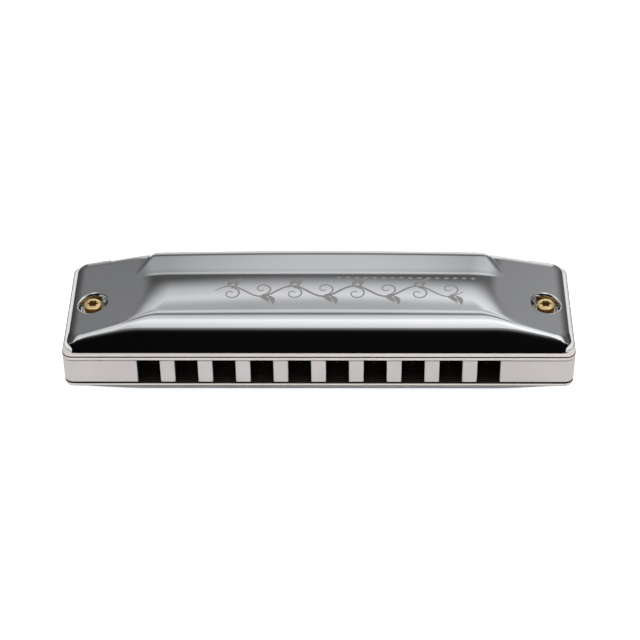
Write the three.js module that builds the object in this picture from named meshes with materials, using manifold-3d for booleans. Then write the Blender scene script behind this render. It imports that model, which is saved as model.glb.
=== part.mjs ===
// A ten-hole diatonic harmonica: an aluminium comb between two brass reed plates, twenty riveted
// reeds, and two pressed chrome covers clamped by two gold-plated socket screws.
// Millimetres. +X runs from hole 1 to hole 10, +Y from the mouthpiece to the back, +Z up.
// The origin is under the middle of the body, level with the lowest line of the lower cover.

import * as THREE from 'three';
import { mergeVertices } from 'three/addons/utils/BufferGeometryUtils.js';
import Module from 'manifold-3d';

const wasm = await Module();
wasm.setup();

// ---- Driving dimensions ------------------------------------------------------------------------

const HOLES = 10;
const HOLE_PITCH = 7.5;
const HOLE_WIDTH = 4.55;
const BODY_LENGTH = 101.8;
const BODY_DEPTH = 28;
const BODY_CORNER = 2;
const COMB_THICKNESS = 5.8;
const PLATE_THICKNESS = 1.05;
const COVER_HEIGHT = 6.2;
const SHEET = 0.5;
const SEATING_GAP = 0.02;

// Heights of the stack, from the lowest line of the lower cover.
const LOWER_PLATE_BOTTOM = COVER_HEIGHT;
const COMB_BOTTOM = LOWER_PLATE_BOTTOM + PLATE_THICKNESS;
const UPPER_PLATE_BOTTOM = COMB_BOTTOM + COMB_THICKNESS;
const UPPER_PLATE_TOP = UPPER_PLATE_BOTTOM + PLATE_THICKNESS;
const FRONT = -BODY_DEPTH / 2;

// Reeds: one length rule for each plate, from hole 1 to hole 10.
const REED_WIDTH = 2.1;
const REED_THICKNESS = 0.25;
const REED_ROOT = FRONT + 8.1;
const REED_SIDE_CLEARANCE = 0.05;
const REED_END_CLEARANCE = 0.15;
const REED_STANDOFF = 0.2;
const BLOW_REED_LENGTHS = [15.2, 9.4];
const DRAW_REED_LENGTHS = [14.8, 9.8];
const FOOT_LENGTH = 3.2;
const FOOT_WIDTH = 2.8;
const FOOT_THICKNESS = 0.4;
const FOOT_CORNER = 0.5;
const SLOT_START = 0.4;
const CHAMBER_BEYOND_TIP = 0.8;
const CHAMBER_CORNER = 1;

// Rivets: one through each reed foot. The flat is the share of an end that isn't bevelled.
const RIVET_RADIUS = 0.5;
const RIVET_CLEARANCE = 0.05;
const RIVET_FOOT_CLEARANCE = 0.15;
const RIVET_HEAD_RADIUS = 0.95;
const RIVET_HEAD_HEIGHT = 0.35;
const RIVET_TAIL_RADIUS = 0.8;
const RIVET_TAIL_HEIGHT = 0.3;
const RIVET_FLAT = 0.7;
const RIVET_BACK = FOOT_LENGTH / 2;

// Countersunk screws that hold the two reed plates to the comb, listed as x and y.
const PLATE_SCREW_X = [-41, -15, 15, 41];
const PLATE_SCREW_Y = [FRONT + 5, FRONT + 25.5];
const PLATE_SCREW_RADIUS = 0.8;
const PLATE_SCREW_HEAD_RADIUS = 1.45;
const PLATE_SCREW_HEAD_HEIGHT = 0.8;
const PLATE_SCREW_CLEARANCE = 0.1;

// Cover screws, their dimples and their nuts.
const COVER_SCREW_X = 45.5;
const COVER_SCREW_Y = -1.4;
const COVER_SCREW_RADIUS = 1;
const COVER_SCREW_CLEARANCE = 0.1;
const SCREW_HEAD_RADIUS = 1.75;
const SCREW_HEAD_HEIGHT = 2.6;
const SCREW_HEAD_CHAMFER = 0.25;
const SOCKET_RADIUS = 1.05;
const SOCKET_LOBE = 0.13;
const SOCKET_LOBES = 6;
const SOCKET_STEPS = 24;
const SOCKET_DEPTH = 1.2;
const DIMPLE_FLOOR_RADIUS = 2.45;
const DIMPLE_RIM_RADIUS = 3;
const NUT_SIDES = 6;
const NUT_ACROSS_FLATS = 4;
const NUT_HEIGHT = 1.5;

// Cover section, as depth behind the body's front edge and height above the reed plate.
const COVER_HALF_LENGTH = 50.65;
const COVER_CORNER = 3;
const COVER_FRONT_EDGE = new THREE.Vector2(1.16, 0);
const FLANK_TOP = new THREE.Vector2(3.6, 4.04);
const BEVEL_TOP = new THREE.Vector2(6.8, 5.3);
const PLATEAU_END = new THREE.Vector2(18.3, 5.95);
const ROLL_RADIUS = 1.8;
const ROLL_CENTRE = new THREE.Vector2(25.17, COVER_HEIGHT - ROLL_RADIUS);
const ROLL_TOP = Math.PI / 2;
const ROLL_STEPS = 3;
const LIP_END_ANGLE = THREE.MathUtils.degToRad(-5);
const LIP_STEPS = 4;
const BACK_OPENING_HALF = 43;
const CROWN_DROP = 0.5;
const CROWN_AT = 33;
const CROWN_STEPS = 8;

// The cover falls away towards each end in two facets. Slopes are height per unit of x and of y.
const END_FACET = { x: 43.5, y: 5, z: 3.5, fall: 0.213, rise: 0 };
const END_BEVEL = { x: 37.5, y: 3.6, z: 4.04, fall: 0.154, rise: 0.394 };

// The groove in each plate that holds a cover's front edge.
const GROOVE_HALF_LENGTH = 49;
const GROOVE_START = 1.02;
const GROOVE_WIDTH = 0.85;
const GROOVE_DEPTH = 0.4;
const TONGUE_HALF_LENGTH = 46.5;
const TONGUE_DEPTH = 0.25;
const TONGUE_THICKNESS = 0.45;

const ROUND_STEPS = 24;
const MEDIUM_ROUND_STEPS = 16;
const SMALL_ROUND_STEPS = 10;
const RIVET_STEPS = 8;
const OVERRUN = 1;

// ---- Materials ---------------------------------------------------------------------------------

const chrome = new THREE.MeshStandardMaterial({ color: 0xd4d7db, roughness: 0.08, metalness: 1 });
const nickelSilver = new THREE.MeshStandardMaterial({ color: 0xcfc4b4, roughness: 0.28, metalness: 1 });
const satinAluminium = new THREE.MeshStandardMaterial({ color: 0xcfc8c8, roughness: 0.5, metalness: 0.9 });
const reedBrass = new THREE.MeshStandardMaterial({ color: 0xc9a35a, roughness: 0.35, metalness: 1 });
const goldPlate = new THREE.MeshStandardMaterial({ color: 0xd7a64a, roughness: 0.25, metalness: 1 });
const steel = new THREE.MeshStandardMaterial({ color: 0x9a9a98, roughness: 0.4, metalness: 1 });

// ---- Solids ------------------------------------------------------------------------------------

function solidFrom(geometry) {
  const bare = geometry.clone();
  bare.deleteAttribute('normal');
  bare.deleteAttribute('uv');
  const merged = mergeVertices(bare, 1e-4);
  const vertProperties = new Float32Array(merged.attributes.position.array);
  const triVerts = new Uint32Array(merged.index.array);
  return new wasm.Manifold(new wasm.Mesh({ numProp: 3, vertProperties, triVerts }));
}

function geometryFrom(solid) {
  const mesh = solid.getMesh();
  const geometry = new THREE.BufferGeometry();
  geometry.setAttribute('position', new THREE.BufferAttribute(new Float32Array(mesh.vertProperties), 3));
  geometry.setIndex(new THREE.BufferAttribute(new Uint32Array(mesh.triVerts), 1));
  geometry.computeVertexNormals();
  return geometry;
}

function cutAll(solid, cutters) {
  return cutters.reduce((left, cutter) => left.subtract(cutter), solid);
}

function block(width, depth, height, x, y, z) {
  return solidFrom(new THREE.BoxGeometry(width, depth, height).translate(x, y, z));
}

// A round pin or hole along Z, given its two end heights.
function round(radius, bottom, top, x, y, steps = ROUND_STEPS) {
  const geometry = new THREE.CylinderGeometry(radius, radius, top - bottom, steps);
  geometry.rotateX(Math.PI / 2);
  return solidFrom(geometry.translate(x, y, (bottom + top) / 2));
}

// A cone along Z whose radius changes from one end height to the other.
function cone(bottomRadius, topRadius, bottom, top, x, y, steps = ROUND_STEPS) {
  const geometry = new THREE.CylinderGeometry(topRadius, bottomRadius, top - bottom, steps);
  geometry.rotateX(Math.PI / 2);
  return solidFrom(geometry.translate(x, y, (bottom + top) / 2));
}

function roundedRectangle(left, right, front, back, corner) {
  const shape = new THREE.Shape();
  shape.moveTo(left + corner, front);
  shape.lineTo(right - corner, front);
  shape.absarc(right - corner, front + corner, corner, -Math.PI / 2, 0);
  shape.lineTo(right, back - corner);
  shape.absarc(right - corner, back - corner, corner, 0, Math.PI / 2);
  shape.lineTo(left + corner, back);
  shape.absarc(left + corner, back - corner, corner, Math.PI / 2, Math.PI);
  shape.lineTo(left, front + corner);
  shape.absarc(left + corner, front + corner, corner, Math.PI, 1.5 * Math.PI);
  return shape;
}

function raised(shape, bottom, top, curveSegments = 5) {
  const settings = { depth: top - bottom, bevelEnabled: false, curveSegments };
  return solidFrom(new THREE.ExtrudeGeometry(shape, settings).translate(0, 0, bottom));
}

function place(name, solid, material, z = 0) {
  const mesh = new THREE.Mesh(geometryFrom(solid), material);
  mesh.name = name;
  mesh.position.z = z;
  return mesh;
}

// ---- Layout ------------------------------------------------------------------------------------

const holeX = (hole) => (hole - (HOLES + 1) / 2) * HOLE_PITCH;
const holeNumbers = Array.from({ length: HOLES }, (_, index) => index + 1);
const plateScrewSpots = PLATE_SCREW_Y.flatMap((y) => PLATE_SCREW_X.map((x) => [x, y]));

// Reeds shorten by the same ratio from each hole to the next.
function reedLength(lengths, hole) {
  const ratio = (lengths[1] / lengths[0]) ** (1 / (HOLES - 1));
  return lengths[0] * ratio ** (hole - 1);
}

// ---- Comb --------------------------------------------------------------------------------------

function makeComb() {
  const half = BODY_LENGTH / 2;
  const outline = roundedRectangle(-half, half, FRONT, -FRONT, BODY_CORNER);
  const chambers = holeNumbers.map((hole) => {
    const longest = Math.max(reedLength(BLOW_REED_LENGTHS, hole), reedLength(DRAW_REED_LENGTHS, hole));
    const left = holeX(hole) - HOLE_WIDTH / 2;
    const back = REED_ROOT + longest + CHAMBER_BEYOND_TIP;
    const front = FRONT - CHAMBER_CORNER - OVERRUN;
    const chamber = roundedRectangle(left, left + HOLE_WIDTH, front, back, CHAMBER_CORNER);
    return raised(chamber, -OVERRUN, COMB_THICKNESS + OVERRUN, 2);
  });
  const screwHoles = plateScrewSpots.map(([x, y]) => {
    const radius = PLATE_SCREW_RADIUS + PLATE_SCREW_CLEARANCE;
    return round(radius, -OVERRUN, COMB_THICKNESS + OVERRUN, x, y, SMALL_ROUND_STEPS);
  });
  const coverScrewHoles = coverScrewHolesThrough(-OVERRUN, COMB_THICKNESS + OVERRUN);
  const blank = raised(outline, 0, COMB_THICKNESS);
  return cutAll(blank, [...chambers, ...screwHoles, ...coverScrewHoles]);
}

function coverScrewHolesThrough(bottom, top) {
  const radius = COVER_SCREW_RADIUS + COVER_SCREW_CLEARANCE;
  return [-1, 1].map((side) => {
    return round(radius, bottom, top, side * COVER_SCREW_X, COVER_SCREW_Y, MEDIUM_ROUND_STEPS);
  });
}

// ---- Reed plates -------------------------------------------------------------------------------

// A plate lies from z = 0 to its thickness with its reeds under it. The groove is on its outer face.
function makePlate(lengths, outerFaceIsTop) {
  const half = BODY_LENGTH / 2;
  const blank = raised(roundedRectangle(-half, half, FRONT, -FRONT, BODY_CORNER), 0, PLATE_THICKNESS);
  const slots = holeNumbers.map((hole) => {
    const start = REED_ROOT + SLOT_START;
    const end = REED_ROOT + reedLength(lengths, hole) + REED_END_CLEARANCE;
    const width = REED_WIDTH + 2 * REED_SIDE_CLEARANCE;
    const depth = PLATE_THICKNESS + 2 * OVERRUN;
    return block(width, end - start, depth, holeX(hole), (start + end) / 2, PLATE_THICKNESS / 2);
  });
  const top = PLATE_THICKNESS + OVERRUN;
  const rivetHoles = holeNumbers.map((hole) => {
    const radius = RIVET_RADIUS + RIVET_CLEARANCE;
    return round(radius, -OVERRUN, top, holeX(hole), REED_ROOT - RIVET_BACK, RIVET_STEPS);
  });
  const screwHoles = plateScrewSpots.map(([x, y]) => {
    const radius = PLATE_SCREW_RADIUS + PLATE_SCREW_CLEARANCE;
    return round(radius, -OVERRUN, top, x, y, SMALL_ROUND_STEPS);
  });
  const coverScrewHoles = coverScrewHolesThrough(-OVERRUN, top);
  const groove = makeGroove(outerFaceIsTop);
  return cutAll(blank, [...slots, ...rivetHoles, ...screwHoles, ...coverScrewHoles, groove]);
}

function makeGroove(outerFaceIsTop) {
  const start = FRONT + GROOVE_START;
  const corner = GROOVE_WIDTH / 2;
  const half = GROOVE_HALF_LENGTH;
  const outline = roundedRectangle(-half, half, start, start + GROOVE_WIDTH, corner);
  if (outerFaceIsTop) {
    return raised(outline, PLATE_THICKNESS - GROOVE_DEPTH, PLATE_THICKNESS + OVERRUN);
  }
  return raised(outline, -OVERRUN, GROOVE_DEPTH);
}

// The lower plate also takes the countersunk heads of the plate screws.
function makeLowerPlate() {
  const sinks = plateScrewSpots.map(([x, y]) => {
    const head = PLATE_SCREW_HEAD_RADIUS + PLATE_SCREW_CLEARANCE;
    const shank = PLATE_SCREW_RADIUS + PLATE_SCREW_CLEARANCE;
    return cone(head, shank, 0, PLATE_SCREW_HEAD_HEIGHT, x, y, SMALL_ROUND_STEPS)
      .add(round(head, -OVERRUN, 0, x, y, SMALL_ROUND_STEPS));
  });
  return cutAll(makePlate(DRAW_REED_LENGTHS, false), sinks);
}

// ---- Reeds and rivets --------------------------------------------------------------------------

// A reed hangs under its plate, whose face is at z = 0. Its root is at y = 0 and its tip points back.
function makeReed(length) {
  const half = FOOT_WIDTH / 2;
  const outline = roundedRectangle(-half, half, -FOOT_LENGTH, 0, FOOT_CORNER);
  const foot = raised(outline, -REED_STANDOFF - FOOT_THICKNESS, -REED_STANDOFF, 1);
  const overlap = FOOT_CORNER;
  const middle = (length - overlap) / 2;
  const height = -REED_STANDOFF - REED_THICKNESS / 2;
  const tongue = block(REED_WIDTH, length + overlap, REED_THICKNESS, 0, middle, height);
  const holeRadius = RIVET_RADIUS + RIVET_FOOT_CLEARANCE;
  const hole = round(holeRadius, -2 * OVERRUN, OVERRUN, 0, -RIVET_BACK, RIVET_STEPS);
  return foot.add(tongue).subtract(hole);
}

// A rivet's head is under the reed foot, and its tail is spread on the far face of the plate.
function makeRivet() {
  const headTop = -2 * REED_STANDOFF - FOOT_THICKNESS;
  const tailBottom = PLATE_THICKNESS + SEATING_GAP;
  const outline = [
    new THREE.Vector2(0, headTop - RIVET_HEAD_HEIGHT),
    new THREE.Vector2(RIVET_HEAD_RADIUS * RIVET_FLAT, headTop - RIVET_HEAD_HEIGHT),
    new THREE.Vector2(RIVET_HEAD_RADIUS, headTop),
    new THREE.Vector2(RIVET_RADIUS, headTop),
    new THREE.Vector2(RIVET_RADIUS, tailBottom),
    new THREE.Vector2(RIVET_TAIL_RADIUS, tailBottom),
    new THREE.Vector2(RIVET_TAIL_RADIUS * RIVET_FLAT, tailBottom + RIVET_TAIL_HEIGHT),
    new THREE.Vector2(0, tailBottom + RIVET_TAIL_HEIGHT),
  ];
  return solidFrom(new THREE.LatheGeometry(outline, RIVET_STEPS).rotateX(Math.PI / 2));
}

// ---- Screws and nuts ---------------------------------------------------------------------------

// A plate screw's head is flush with the lower plate's outer face, which is at z = 0.
function makePlateScrew() {
  const tip = 2 * PLATE_THICKNESS + COMB_THICKNESS - PLATE_SCREW_CLEARANCE;
  const outline = [
    new THREE.Vector2(0, 0),
    new THREE.Vector2(PLATE_SCREW_HEAD_RADIUS, 0),
    new THREE.Vector2(PLATE_SCREW_RADIUS, PLATE_SCREW_HEAD_HEIGHT),
    new THREE.Vector2(PLATE_SCREW_RADIUS, tip),
    new THREE.Vector2(0, tip),
  ];
  return solidFrom(new THREE.LatheGeometry(outline, SMALL_ROUND_STEPS).rotateX(Math.PI / 2));
}

function socketOutline() {
  const points = [];
  for (let step = 0; step < SOCKET_STEPS; step += 1) {
    const angle = (2 * Math.PI * step) / SOCKET_STEPS;
    const radius = SOCKET_RADIUS + SOCKET_LOBE * Math.cos(SOCKET_LOBES * angle);
    points.push(new THREE.Vector2(radius * Math.cos(angle), radius * Math.sin(angle)));
  }
  return new THREE.Shape(points);
}

// A cover screw's head seats at z = 0 and its shank runs down to the far face of the nut.
function makeCoverScrew() {
  const nutFace = 2 * (SHEET + PLATE_THICKNESS) + COMB_THICKNESS + NUT_HEIGHT;
  const outline = [
    new THREE.Vector2(0, -nutFace),
    new THREE.Vector2(COVER_SCREW_RADIUS, -nutFace),
    new THREE.Vector2(COVER_SCREW_RADIUS, 0),
    new THREE.Vector2(SCREW_HEAD_RADIUS, 0),
    new THREE.Vector2(SCREW_HEAD_RADIUS, SCREW_HEAD_HEIGHT - SCREW_HEAD_CHAMFER),
    new THREE.Vector2(SCREW_HEAD_RADIUS - SCREW_HEAD_CHAMFER, SCREW_HEAD_HEIGHT),
    new THREE.Vector2(0, SCREW_HEAD_HEIGHT),
  ];
  const body = solidFrom(new THREE.LatheGeometry(outline, ROUND_STEPS).rotateX(Math.PI / 2));
  const socket = raised(socketOutline(), SCREW_HEAD_HEIGHT - SOCKET_DEPTH, SCREW_HEAD_HEIGHT + OVERRUN);
  return body.subtract(socket);
}

// A hexagon nut hangs under its seat, which is at z = 0.
function makeNut() {
  const corner = NUT_ACROSS_FLATS / 2 / Math.cos(Math.PI / NUT_SIDES);
  const body = round(corner, -NUT_HEIGHT, 0, 0, 0, NUT_SIDES);
  const bore = round(COVER_SCREW_RADIUS + COVER_SCREW_CLEARANCE / 2, -2 * NUT_HEIGHT, OVERRUN, 0, 0);
  return body.subtract(bore);
}

// ---- Covers ------------------------------------------------------------------------------------

const rollPoint = (angle, radius) => new THREE.Vector2(
  ROLL_CENTRE.x + radius * Math.cos(angle),
  ROLL_CENTRE.y + radius * Math.sin(angle),
);

// Where a line from the plateau's end touches the rolled back edge.
function rollStartAngle() {
  const back = PLATEAU_END.clone().sub(ROLL_CENTRE);
  return back.angle() - Math.acos(ROLL_RADIUS / back.length());
}

function rollArc(fromAngle, toAngle, radius, steps) {
  const points = [];
  for (let step = 0; step <= steps; step += 1) {
    points.push(rollPoint(fromAngle + ((toAngle - fromAngle) * step) / steps, radius));
  }
  return points;
}

// The corner of a path after the path is moved sideways by a distance, to its right.
function insetCorner(before, corner, after, distance) {
  const inward = corner.clone().sub(before).normalize();
  const outward = after.clone().sub(corner).normalize();
  const rightIn = new THREE.Vector2(inward.y, -inward.x);
  const rightOut = new THREE.Vector2(outward.y, -outward.x);
  const middle = rightIn.clone().add(rightOut).normalize();
  return corner.clone().addScaledVector(middle, distance / middle.dot(rightIn));
}

// A closed section, in depth and height, pushed along X between two ends.
function alongX(points, halfLength) {
  const shape = new THREE.Shape(points.map((point) => new THREE.Vector2(point.x + FRONT, point.y)));
  const geometry = new THREE.ExtrudeGeometry(shape, { depth: 2 * halfLength, bevelEnabled: false });
  const turn = new THREE.Matrix4().makeBasis(
    new THREE.Vector3(0, 1, 0),
    new THREE.Vector3(0, 0, 1),
    new THREE.Vector3(1, 0, 0),
  );
  return solidFrom(geometry.applyMatrix4(turn).translate(-halfLength, 0, 0));
}

// Cuts off everything above the two mirrored end facets, moved inwards by an inset.
function cutEnds(solid, facet, inset) {
  const size = 4 * BODY_LENGTH;
  const cutters = [-1, 1].map((side) => {
    const normal = new THREE.Vector3(side * facet.fall, -facet.rise, 1).normalize();
    const cutter = new THREE.BoxGeometry(size, size, size).translate(0, 0, size / 2 - inset);
    const turn = new THREE.Quaternion().setFromUnitVectors(new THREE.Vector3(0, 0, 1), normal);
    cutter.applyQuaternion(turn);
    return solidFrom(cutter.translate(side * facet.x, FRONT + facet.y, facet.z));
  });
  return cutAll(solid, cutters);
}

// Everything under the gently crowned top of a cover.
function underCrown(inset) {
  const points = [];
  const reach = BODY_LENGTH / 2;
  for (let step = 0; step <= CROWN_STEPS; step += 1) {
    const x = reach - (2 * reach * step) / CROWN_STEPS;
    points.push(new THREE.Vector2(x, COVER_HEIGHT - inset - CROWN_DROP * (x / CROWN_AT) ** 2));
  }
  points.push(new THREE.Vector2(-reach, -OVERRUN));
  points.push(new THREE.Vector2(reach, -OVERRUN));
  const settings = { depth: 2 * BODY_DEPTH, bevelEnabled: false };
  const geometry = new THREE.ExtrudeGeometry(new THREE.Shape(points), settings);
  return solidFrom(geometry.rotateX(Math.PI / 2).translate(0, BODY_DEPTH, 0));
}

// The plan of a cover, moved inwards by an inset.
function coverPlan(inset) {
  const half = COVER_HALF_LENGTH - inset;
  const front = FRONT + COVER_FRONT_EDGE.x + inset;
  const back = FRONT + ROLL_CENTRE.x + ROLL_RADIUS - inset;
  const outline = roundedRectangle(-half, half, front, back, COVER_CORNER - inset);
  return raised(outline, -OVERRUN, 2 * COVER_HEIGHT);
}

function trimmed(solid, inset) {
  return cutEnds(cutEnds(solid, END_FACET, inset), END_BEVEL, inset).intersect(underCrown(inset));
}

// A cover stands on z = 0, hollow, open at the back between its two closed ends.
function makeCover() {
  const start = rollStartAngle();
  const back = ROLL_CENTRE.x + ROLL_RADIUS;
  const crest = rollPoint(start, ROLL_RADIUS);
  const outerSection = [
    COVER_FRONT_EDGE,
    FLANK_TOP,
    BEVEL_TOP,
    PLATEAU_END,
    crest,
    ...rollArc(ROLL_TOP, 0, ROLL_RADIUS, ROLL_STEPS),
    new THREE.Vector2(back, 0),
  ];

  const flankInner = insetCorner(COVER_FRONT_EDGE, FLANK_TOP, BEVEL_TOP, SHEET);
  const bevelInner = insetCorner(FLANK_TOP, BEVEL_TOP, PLATEAU_END, SHEET);
  const plateauInner = insetCorner(BEVEL_TOP, PLATEAU_END, crest, SHEET);
  const flankSlope = FLANK_TOP.clone().sub(COVER_FRONT_EDGE);
  const footDrop = (flankInner.y + OVERRUN) / flankSlope.y;
  const footInner = flankInner.clone().addScaledVector(flankSlope, -footDrop);
  const innerRadius = ROLL_RADIUS - SHEET;
  const innerStart = [footInner, flankInner, bevelInner, plateauInner, rollPoint(start, innerRadius)];

  const endVoid = alongX([
    ...innerStart,
    ...rollArc(ROLL_TOP, 0, innerRadius, ROLL_STEPS),
    new THREE.Vector2(back - SHEET, -OVERRUN),
  ], COVER_HALF_LENGTH);
  const backVoid = alongX([
    ...innerStart,
    ...rollArc(ROLL_TOP, LIP_END_ANGLE, innerRadius, LIP_STEPS),
    ...rollArc(LIP_END_ANGLE, 0, ROLL_RADIUS, 1),
    new THREE.Vector2(back + OVERRUN, ROLL_CENTRE.y),
    new THREE.Vector2(back + OVERRUN, -OVERRUN),
  ], BACK_OPENING_HALF);

  const outer = trimmed(alongX(outerSection, COVER_HALF_LENGTH), 0).intersect(coverPlan(0));
  const closedVoid = endVoid.intersect(coverPlan(SHEET));
  const shell = outer.subtract(trimmed(closedVoid.add(backVoid), SHEET));

  const tongueY = FRONT + COVER_FRONT_EDGE.x + TONGUE_THICKNESS / 2 + SEATING_GAP;
  const tongue = block(2 * TONGUE_HALF_LENGTH, TONGUE_THICKNESS, 2 * TONGUE_DEPTH, 0, tongueY, 0);
  return addDimples(shell, outer).add(tongue);
}

// Each end has a dimple pressed down until its floor rests on the reed plate.
function addDimples(shell, outer) {
  const wall = (DIMPLE_RIM_RADIUS - DIMPLE_FLOOR_RADIUS) / (END_FACET.z - SHEET);
  const top = COVER_HEIGHT;
  let dimpled = shell;
  for (const side of [-1, 1]) {
    const x = side * COVER_SCREW_X;
    const y = COVER_SCREW_Y;
    const floor = DIMPLE_FLOOR_RADIUS;
    const cup = cone(floor + SHEET, floor + SHEET + wall * top, 0, top, x, y).intersect(outer);
    const hollow = cone(floor, floor + wall * (top - SHEET), SHEET, top, x, y);
    dimpled = dimpled.add(cup).subtract(hollow);
  }
  return cutAll(dimpled, coverScrewHolesThrough(-OVERRUN, COVER_HEIGHT));
}

// ---- Assembly ----------------------------------------------------------------------------------

const group = new THREE.Group();

function addReeds(kind, lengths, plateFace) {
  for (const hole of holeNumbers) {
    const reed = place(`${kind}_reed_${hole}`, makeReed(reedLength(lengths, hole)), reedBrass, plateFace);
    reed.position.x = holeX(hole);
    reed.position.y = REED_ROOT;
    const rivet = place(`${kind}_rivet_${hole}`, makeRivet(), reedBrass, plateFace);
    rivet.position.x = holeX(hole);
    rivet.position.y = REED_ROOT - RIVET_BACK;
    group.add(reed, rivet);
  }
}

group.add(place('comb', makeComb(), satinAluminium, COMB_BOTTOM));
group.add(place('upper_reed_plate', makePlate(BLOW_REED_LENGTHS, true), nickelSilver, UPPER_PLATE_BOTTOM));
group.add(place('lower_reed_plate', makeLowerPlate(), nickelSilver, LOWER_PLATE_BOTTOM));
addReeds('blow', BLOW_REED_LENGTHS, UPPER_PLATE_BOTTOM);
addReeds('draw', DRAW_REED_LENGTHS, LOWER_PLATE_BOTTOM);

const cover = makeCover();
group.add(place('upper_cover', cover, chrome, UPPER_PLATE_TOP));
const lowerCover = place('lower_cover', cover, chrome, LOWER_PLATE_BOTTOM);
lowerCover.rotation.y = Math.PI;
group.add(lowerCover);

plateScrewSpots.forEach(([x, y], index) => {
  const screw = place(`reed_plate_screw_${index + 1}`, makePlateScrew(), steel, LOWER_PLATE_BOTTOM);
  screw.position.x = x;
  screw.position.y = y;
  group.add(screw);
});

[-1, 1].forEach((side) => {
  const word = side < 0 ? 'left' : 'right';
  const screwSeat = UPPER_PLATE_TOP + SHEET + SEATING_GAP;
  const screw = place(`cover_screw_${word}`, makeCoverScrew(), goldPlate, screwSeat);
  screw.position.x = side * COVER_SCREW_X;
  screw.position.y = COVER_SCREW_Y;
  const nutSeat = LOWER_PLATE_BOTTOM - SHEET - SEATING_GAP;
  const nut = place(`cover_nut_${word}`, makeNut(), goldPlate, nutSeat);
  nut.position.x = side * COVER_SCREW_X;
  nut.position.y = COVER_SCREW_Y;
  group.add(screw, nut);
});

export default group;
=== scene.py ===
# A ten-hole diatonic harmonica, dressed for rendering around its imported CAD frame.
# Lengths in this file are millimetres until a mesh is made; Blender's own unit here is the metre.

import math

import bmesh
import bpy
import numpy as np
from mathutils import Matrix, Vector


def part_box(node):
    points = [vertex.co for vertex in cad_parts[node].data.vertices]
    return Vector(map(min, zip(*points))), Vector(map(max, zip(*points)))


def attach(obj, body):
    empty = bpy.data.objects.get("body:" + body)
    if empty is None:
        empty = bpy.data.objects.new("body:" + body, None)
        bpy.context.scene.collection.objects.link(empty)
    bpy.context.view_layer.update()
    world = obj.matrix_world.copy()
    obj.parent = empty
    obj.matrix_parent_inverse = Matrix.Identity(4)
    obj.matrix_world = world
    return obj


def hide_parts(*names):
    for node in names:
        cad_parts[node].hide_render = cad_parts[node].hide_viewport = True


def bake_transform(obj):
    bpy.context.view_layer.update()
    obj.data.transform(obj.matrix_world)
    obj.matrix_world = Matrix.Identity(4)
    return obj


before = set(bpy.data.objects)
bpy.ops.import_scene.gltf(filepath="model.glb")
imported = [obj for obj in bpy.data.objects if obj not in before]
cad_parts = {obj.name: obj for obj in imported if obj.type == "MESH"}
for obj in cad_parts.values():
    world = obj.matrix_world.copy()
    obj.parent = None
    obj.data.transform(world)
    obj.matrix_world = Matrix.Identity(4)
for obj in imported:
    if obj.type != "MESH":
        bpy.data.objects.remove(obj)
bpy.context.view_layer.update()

MM = 0.001

# ---- Places taken from the frame ---------------------------------------------------------------


def span(node, axis):
    """The lowest and highest coordinate of a CAD node along an axis, in millimetres."""
    low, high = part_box(node)
    return low[axis] / MM, high[axis] / MM


FRONT, BACK = span("comb", 1)
LOWER_PLATE_FACE, COMB_BOTTOM = span("lower_reed_plate", 2)
COMB_TOP, UPPER_PLATE_FACE = span("upper_reed_plate", 2)
COVER_HALF_LENGTH = span("upper_cover", 0)[1]
COVER_BACK = span("upper_cover", 1)[1] - FRONT
COVER_FRONT = span("upper_cover", 1)[0] - FRONT
BODY_HALF_LENGTH = span("comb", 0)[1]
BODY_CORNER = 2.0
HOLES = 10

# ---- Cover section: u is the depth behind the body's front, height is above the reed plate -----
# A slope or a fall is a height for each millimetre across. A bend is the width of a rounded crease.

SHEET = 0.5
FLANK_SLOPE = 4.04 / 2.44
SIDE_SLOPE = math.tan(math.radians(80))
CORNER_RADIUS = 3.0
RIM_BEND = 0.55
RIM_BEND_MORE_AT_SIDES = 0.8

BEVEL_TOP = (6.6, 5.3)
BEVEL_SLOPE = 0.44
BEVEL_MIDDLE = 5.1
BEVEL_CURVE = 0.018
BEVEL_REACH = 2.5
END_BEVEL = {"x": 37.5, "fall": 0.115, "bend": 0.3}
CREASE_BEND = 0.42

CROWN_START = (6.6, 5.27)
CROWN_FRONT_SLOPE = math.tan(math.radians(6.5))
CROWN_BACK_SLOPE = math.tan(math.radians(-1.2))
CROWN_BENDS = (8.8, 18.2)
CROWN_DROP = 0.38
CROWN_DROP_AT = 33.0
CROWN_DROP_DEPTH = 18.0

RIDGE_RISE = math.tan(math.radians(2.2)) - CROWN_BACK_SLOPE
RIDGE_FRONT_CURVE = 2.4
RIDGE_FRONT_SOFTNESS = 0.35
RIDGE_END = ((38.4, 18.1), (34.6, 25.9))
RIDGE_CORNER = 2.0
RIDGE_EDGE = 1.1

END_FACET = {"x": 43.5, "height": 3.5, "fall": 0.213}
FACET_BEND = 0.6
SIDE_ROUND_START = 49.3
SIDE_ROUND = 0.2
FRONT_ROUND_CENTRE = (45.5, 5.5)
FRONT_ROUND_START = 2.2
FRONT_ROUND = 0.12

ROLL_RADIUS = 2.2
ROLL_END = math.radians(-5)
HEM_RADIUS = 5.5
HEM_TURN = math.radians(9)
ROLL_START = COVER_BACK - ROLL_RADIUS * (1 - math.sin(HEM_TURN))
HEM_START = ROLL_START - HEM_RADIUS * math.sin(HEM_TURN)
BACK_OPENING = 42.85
OPENING_GAP = 0.1

SCREW_X = sum(span("cover_screw_right", 0)) / 2
SCREW_DEPTH = sum(span("cover_screw_right", 1)) / 2 - FRONT
SCREW_TOP = span("cover_screw_right", 2)[1]
DIMPLE_FLOOR = 2.35
DIMPLE_FLOOR_BEND = 0.6
DIMPLE_WALL_SLOPE = 5.0
DIMPLE_EDGE_BEND = 0.5
DIMPLE_SHOULDER_BEND = 3.4
DIMPLE_SOFT_SIDE = (0.66, 0.75)


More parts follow.
